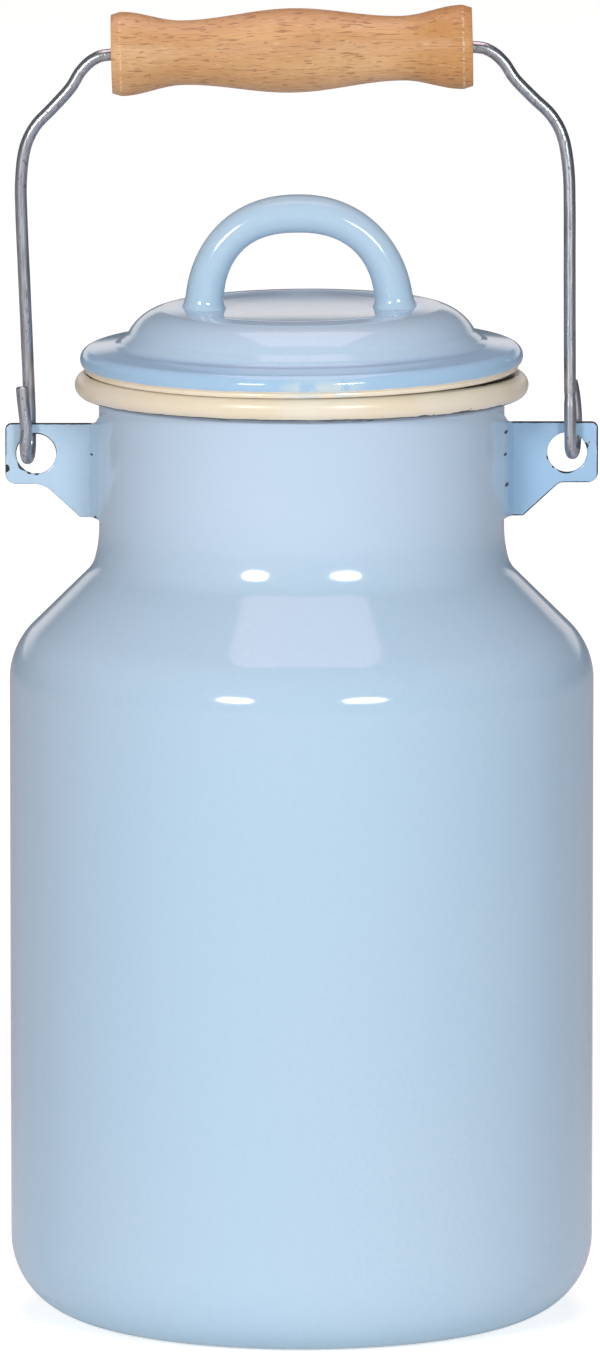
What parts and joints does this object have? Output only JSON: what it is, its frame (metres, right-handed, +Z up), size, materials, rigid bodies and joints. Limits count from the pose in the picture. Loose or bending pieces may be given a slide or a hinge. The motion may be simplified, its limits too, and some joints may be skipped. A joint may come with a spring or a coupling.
{
  "type": "milk pail",
  "caption": "Enamelled steel milk can with a rolled rim, a loose plug-in lid with a bow handle, and a swinging wire bail with a turned wooden grip that spins.",
  "frame": {"origin": "centre of the base, on the surface that the pail stands on", "axes": "+Z up, +X to the viewer's right along the line through the two ears, the front faces -Y"},
  "size_m": [0.1418, 0.14, 0.3154],
  "materials": {
    "blue_enamel": "gloss vitreous enamel on steel, pale blue with a cream rim",
    "lid_enamel": "gloss vitreous enamel on steel, pale blue",
    "cream_enamel": "gloss vitreous enamel on steel, cream",
    "ear_enamel": "gloss vitreous enamel on steel, pale blue, bare dark cut edges",
    "wire_steel": "drawn grey wire",
    "beech": "turned beech, thin clear lacquer"
  },
  "bodies": {
    "can": {"can_shell": "blue_enamel", "left_ear": "ear_enamel", "right_ear": "ear_enamel"},
    "bail": {"bail_wire": "wire_steel"},
    "grip_roller": {"grip": "beech"},
    "lid": {"lid_shell": "lid_enamel", "lid_collar": "cream_enamel", "lid_handle": "lid_enamel"}
  },
  "joints": [
    {"name": "bail_swing", "type": "hinge", "parent": "can", "child": "bail", "pos_m": [0, 0, 0.21365], "axis": [1, 0, 0], "range_deg": [-120, 120]},
    {"name": "grip_spin", "type": "hinge", "parent": "bail", "child": "grip_roller", "pos_m": [-0.0023, 0, 0.3045], "axis": [0.9998, 0, 0.0209], "continuous": true},
    {"name": "lid_lift", "type": "slide", "parent": "can", "child": "lid", "axis": [0, 0, 1], "range_m": [0, 0.02]}
  ]
}
